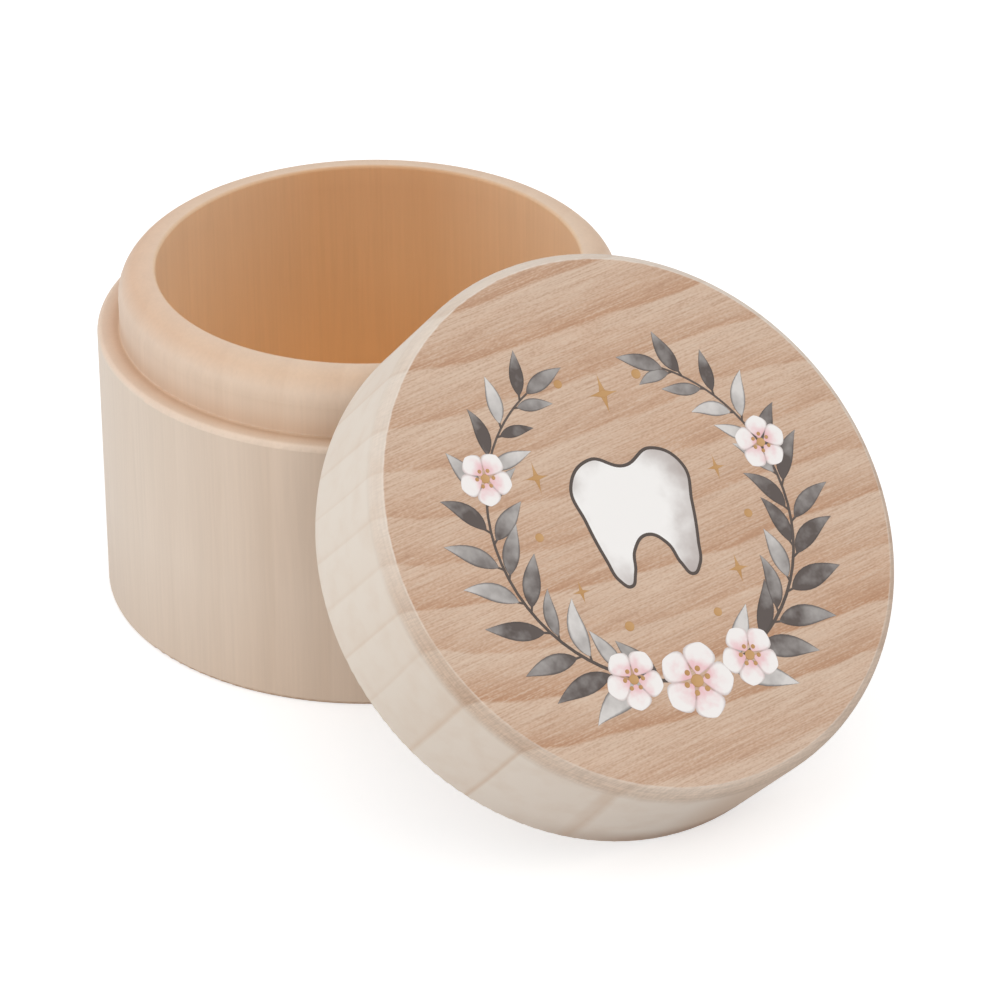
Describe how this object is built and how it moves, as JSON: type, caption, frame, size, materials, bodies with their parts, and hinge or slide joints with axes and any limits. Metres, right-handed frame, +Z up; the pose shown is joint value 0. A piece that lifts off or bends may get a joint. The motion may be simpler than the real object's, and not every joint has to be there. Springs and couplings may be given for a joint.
{
  "type": "tooth box",
  "caption": "Small round keepsake box in pale turned wood: a straight cup with a soft-rimmed neck, and a loose slip-on lid taken off and leaning against it.",
  "frame": {"origin": "centre of the cup's flat base, on the table", "axes": "+Z up along the cup's axis; +X from the cup towards the lid that leans on it"},
  "size_m": [0.087, 0.0528, 0.0436],
  "materials": {
    "cup_wood": "fine-sanded bare turned hardwood",
    "lid_wood": "fine-sanded bare turned hardwood, printed on the face",
    "print_ink": "thin matt film of printed ink on the lid's face"
  },
  "bodies": {
    "box": {"box_body": "cup_wood"},
    "lid": {"lid": "lid_wood"}
  },
  "joints": [
    {"name": "lid_lift", "type": "slide", "parent": "box", "child": "lid", "axis": [0, 0, 1], "range_m": [0, 0.06]}
  ]
}
